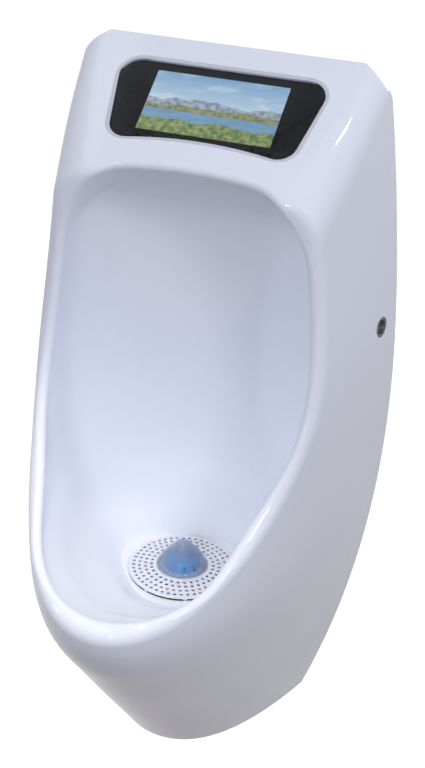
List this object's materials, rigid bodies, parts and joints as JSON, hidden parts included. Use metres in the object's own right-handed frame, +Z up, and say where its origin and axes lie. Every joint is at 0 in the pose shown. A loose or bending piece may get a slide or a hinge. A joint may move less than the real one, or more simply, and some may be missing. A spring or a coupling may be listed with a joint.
{
  "type": "waterless urinal",
  "caption": "Wall-hung waterless urinal: moulded shell with an open bowl, sloped header with a display, strainer and lift-out trap over a back outlet.",
  "frame": {"origin": "centre of the four wall fixing holes, on the wall plane", "axes": "+Z up, +Y into the wall, +X to the right of someone facing the urinal"},
  "size_m": [0.3308, 0.312, 0.66],
  "materials": {
    "body": "glossy moulded plastic",
    "bracket": "zinc plated",
    "screw": "bright steel",
    "bush": "dark grey moulded plastic",
    "window": "clear flush pane",
    "mask": "black print",
    "seal_light": "light soft seal",
    "screen": "lit panel",
    "board": "circuit board",
    "chip": "black epoxy",
    "cover": "textured black plastic",
    "gland": "grey plastic",
    "drain": "black plastic",
    "nut": "grey plastic",
    "pipe": "black pipe plastic",
    "seal_dark": "soft black rubber",
    "trap": "black plastic",
    "strainer": "white plastic",
    "cone": "milky clear plastic",
    "stone": "pressed blue block",
    "float": "foamed plastic"
  },
  "bodies": {
    "urinal_body": {"body_shell": "body", "wall_bracket": "bracket", "flank_bushes": "bush", "locking_screws": "screw", "weld_nuts": "screw", "window_mask": "mask", "display_window": "window", "display_gasket": "seal_light", "lcd_panel": "screen", "electronics_cover": "cover", "cable_gland": "gland", "cover_screws": "screw", "control_board": "board", "board_chips": "chip", "proximity_sensor": "chip", "drain_gasket": "seal_dark", "drain_housing": "drain", "drain_union_nut": "nut", "outlet_elbow": "pipe", "elbow_seals": "seal_dark"},
    "trap_cartridge": {"trap_cup": "trap", "trap_o_rings": "seal_dark", "strainer_disc": "strainer", "trap_cone": "cone", "cleaning_stone": "stone", "valve_seat": "seal_dark"},
    "trap_float_body": {"trap_float": "float"}
  },
  "joints": [
    {"name": "cartridge_lift", "type": "slide", "parent": "urinal_body", "child": "trap_cartridge", "axis": [0, 0, 1], "range_m": [0, 0.1]},
    {"name": "float_rise", "type": "slide", "parent": "trap_cartridge", "child": "trap_float_body", "axis": [0, 0, 1], "range_m": [0, 0.008]}
  ]
}
